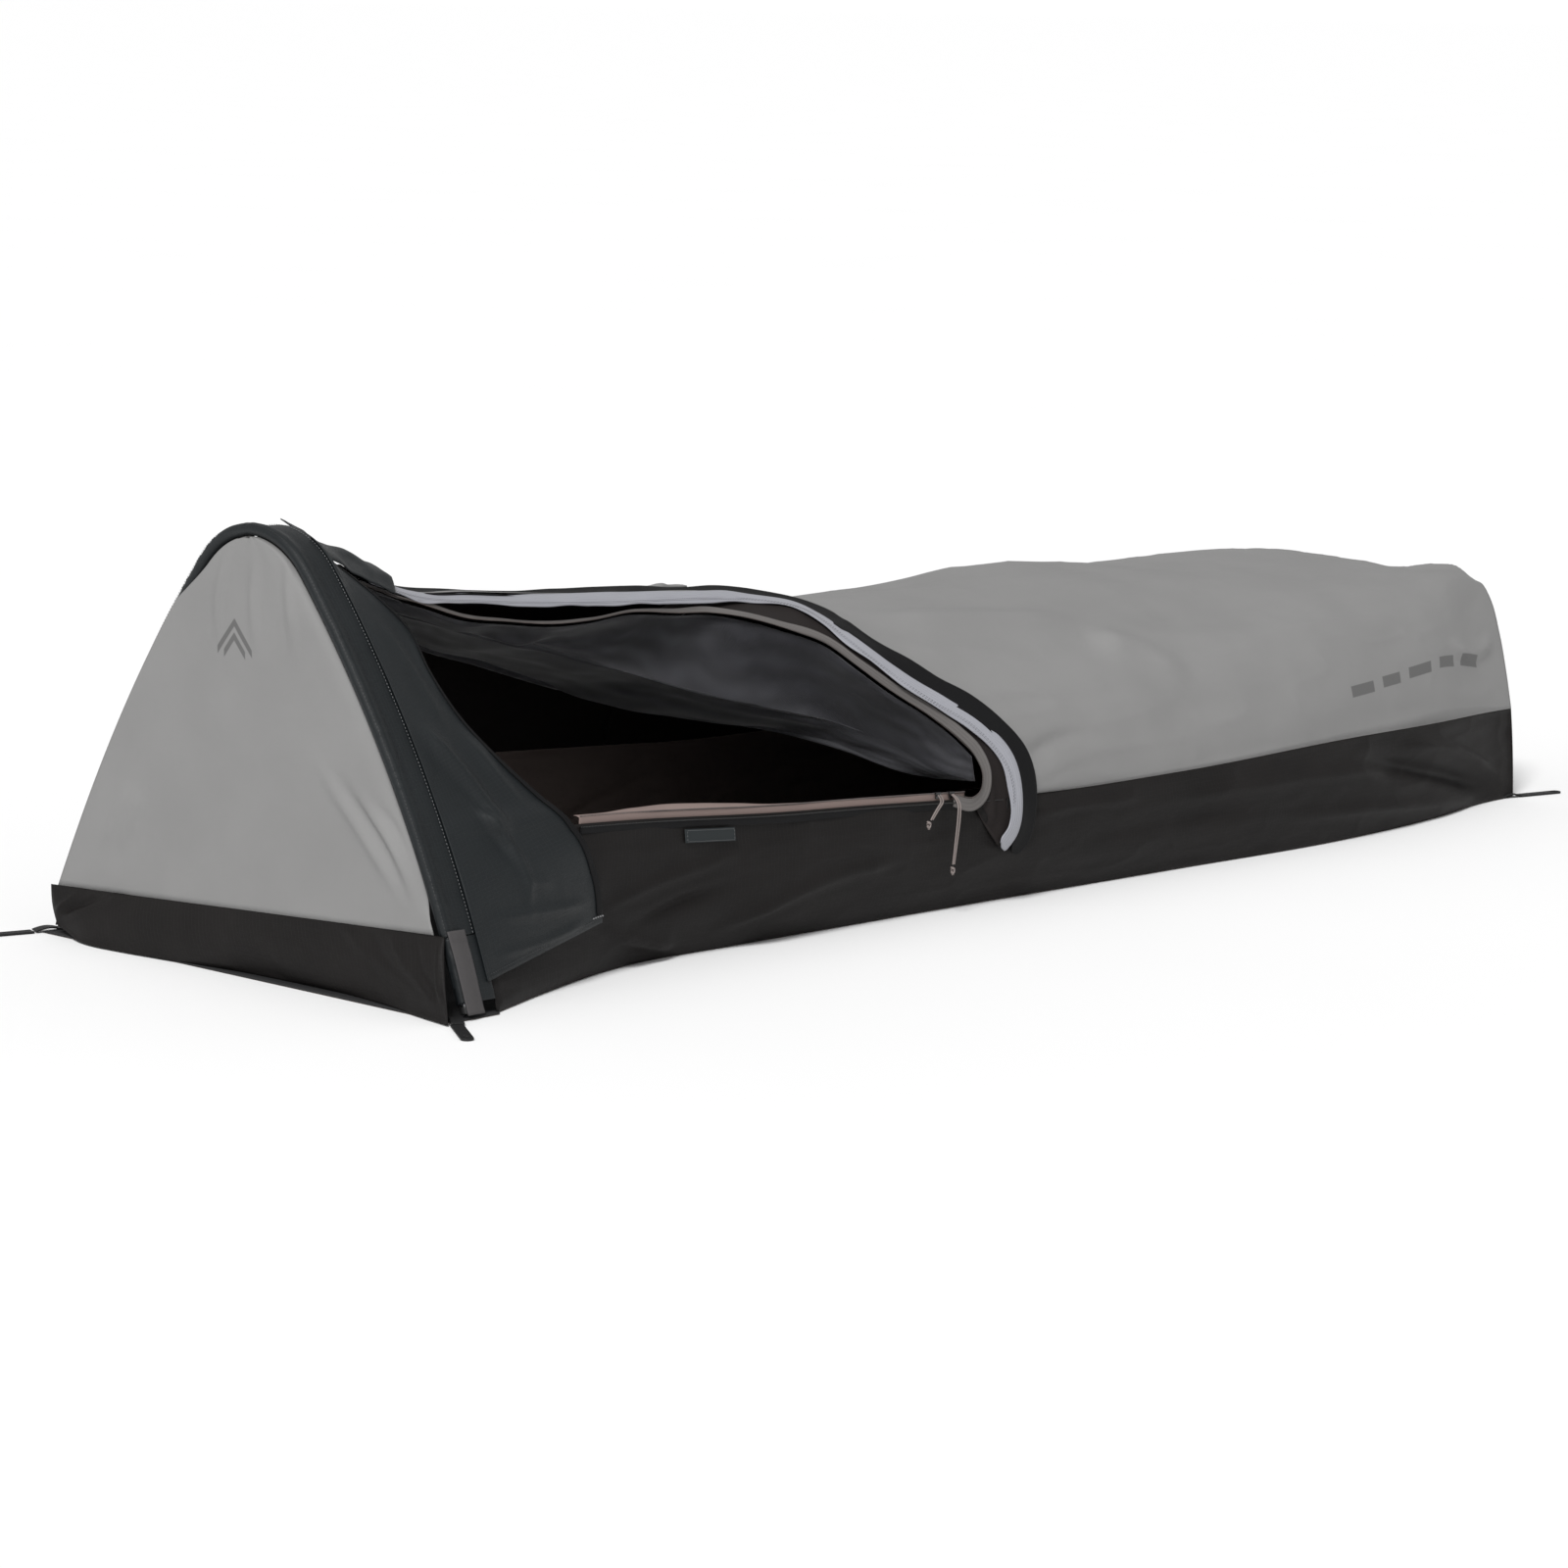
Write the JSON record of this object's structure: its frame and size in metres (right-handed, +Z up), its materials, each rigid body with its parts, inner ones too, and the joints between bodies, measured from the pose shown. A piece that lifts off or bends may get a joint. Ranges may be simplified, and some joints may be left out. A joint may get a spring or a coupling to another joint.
{
  "type": "bivy sack",
  "caption": "One-person bivouac sack lying filled out: dark tub floor, light grey cover, one bent pole at the head, double side door folded open, zips with cord pulls and stake loops.",
  "frame": {"origin": "centre of the whole sack's base on the ground, stake loops included", "axes": "+X from the head hoop to the foot, +Y from the door side to the far side, +Z up"},
  "size_m": [2.322, 0.822, 0.515],
  "materials": {
    "floor_fabric": "coated plain weave, dull",
    "tub_fabric": "coated ripstop, dark charcoal, slight sheen",
    "cover_fabric": "light grey laminate, matt",
    "ripstop_fabric": "charcoal ripstop with a fine grid, slight sheen",
    "pocket_fabric": "tough brown-grey oxford weave",
    "flap_fabric": "black binding cloth",
    "silver_tape": "pale water-resistant zip tape with ribs",
    "mesh_fabric": "fine black insect mesh",
    "mesh_tape": "brown-grey coil zip tape",
    "wall_tape": "black zip tape",
    "pole_alloy": "anodised",
    "ferrule_alloy": "bright",
    "tip_plastic": "moulded",
    "elastic_cord": "covered elastic",
    "slider_metal": "black lacquer",
    "pull_plastic": "moulded",
    "pull_cord": "thin braided brown-grey cord",
    "webbing": "black flat webbing",
    "label_cloth": "plain dark patch, sewn round its edge"
  },
  "bodies": {
    "root": {"floor_sheet": "floor_fabric", "head_tub_wall": "tub_fabric", "near_tub_wall": "tub_fabric", "far_tub_wall": "tub_fabric", "foot_end_panel": "tub_fabric", "foot_cover": "cover_fabric", "far_cover": "cover_fabric", "near_gusset": "ripstop_fabric", "gusset_zip_tape": "wall_tape", "fly_door": "cover_fabric", "storm_flap": "flap_fabric", "fly_zip_tape": "silver_tape", "mesh_door": "mesh_fabric", "mesh_zip_tape": "mesh_tape", "wall_fly_zip_tape": "wall_tape", "wall_mesh_zip_tape": "mesh_tape", "near_foot_pocket": "pocket_fabric", "far_foot_pocket": "pocket_fabric", "label_patch": "label_cloth"},
    "near_head_stake": {"near_head_stake_loop": "webbing"},
    "far_head_stake": {"far_head_stake_loop": "webbing"},
    "near_foot_stake": {"near_foot_stake_loop": "webbing"},
    "far_foot_stake": {"far_foot_stake_loop": "webbing"},
    "mesh_pull_a": {"mesh_slider_a": "slider_metal", "pull_cord_a_left": "pull_cord", "pull_cord_a_right": "pull_cord", "pull_knot_a": "pull_cord"},
    "mesh_pull_b": {"mesh_slider_b": "slider_metal", "pull_cord_b_left": "pull_cord", "pull_cord_b_right": "pull_cord", "pull_knot_b": "pull_cord"},
    "fly_slider_body": {"fly_slider": "slider_metal"},
    "fly_pull": {"fly_slider_pull": "pull_plastic"},
    "hoop": {"pole_near_section": "pole_alloy", "pole_middle_section": "pole_alloy", "pole_far_section": "pole_alloy", "near_ferrule": "ferrule_alloy", "far_ferrule": "ferrule_alloy", "near_pole_tip": "tip_plastic", "far_pole_tip": "tip_plastic", "shock_cord": "elastic_cord", "pole_sleeve": "ripstop_fabric", "head_panel": "cover_fabric"}
  },
  "joints": [
    {"name": "hoop_fold", "type": "hinge", "parent": "root", "child": "hoop", "pos_m": [-1.05137, 0.0208, 0.008], "axis": [0, 1, 0], "range_deg": [0, 15], "deforming": ["near_gusset", "gusset_zip_tape", "far_cover", "fly_door", "fly_zip_tape", "storm_flap", "mesh_door", "mesh_zip_tape", "near_foot_pocket", "far_foot_pocket"]},
    {"name": "near_head_stake_lift", "type": "hinge", "parent": "root", "child": "near_head_stake", "pos_m": [-1.08441, -0.34667, 0.0012], "axis": [-0.829, 0.5592, 0], "range_deg": [0, 90]},
    {"name": "far_head_stake_lift", "type": "hinge", "parent": "root", "child": "far_head_stake", "pos_m": [-1.08798, 0.38343, 0.0012], "axis": [0.2924, 0.9563, 0], "range_deg": [0, 90]},
    {"name": "near_foot_stake_lift", "type": "hinge", "parent": "root", "child": "near_foot_stake", "pos_m": [1.08732, -0.23053, 0.0012], "axis": [-0.2588, -0.9659, 0], "range_deg": [0, 90]},
    {"name": "far_foot_stake_lift", "type": "hinge", "parent": "root", "child": "far_foot_stake", "pos_m": [1.08719, 0.27258, 0.0012], "axis": [0.309, -0.9511, 0], "range_deg": [0, 90]},
    {"name": "mesh_slider_a_slide", "type": "slide", "parent": "root", "child": "mesh_pull_a", "axis": [-0.9976, 0.0227, 0.0649], "range_m": [0, 0.5]},
    {"name": "mesh_slider_b_slide", "type": "slide", "parent": "root", "child": "mesh_pull_b", "axis": [-0.9976, 0.0227, 0.0649], "range_m": [0, 0.012]},
    {"name": "fly_slider_slide", "type": "slide", "parent": "root", "child": "fly_slider_body", "axis": [-0.9976, 0.0227, 0.0649], "range_m": [0, 0.6]},
    {"name": "fly_pull_swing", "type": "hinge", "parent": "fly_slider_body", "child": "fly_pull", "pos_m": [-0.09355, -0.284, 0.13066], "axis": [-0.0228, -0.9997, 0], "range_deg": [-55, 55]}
  ]
}
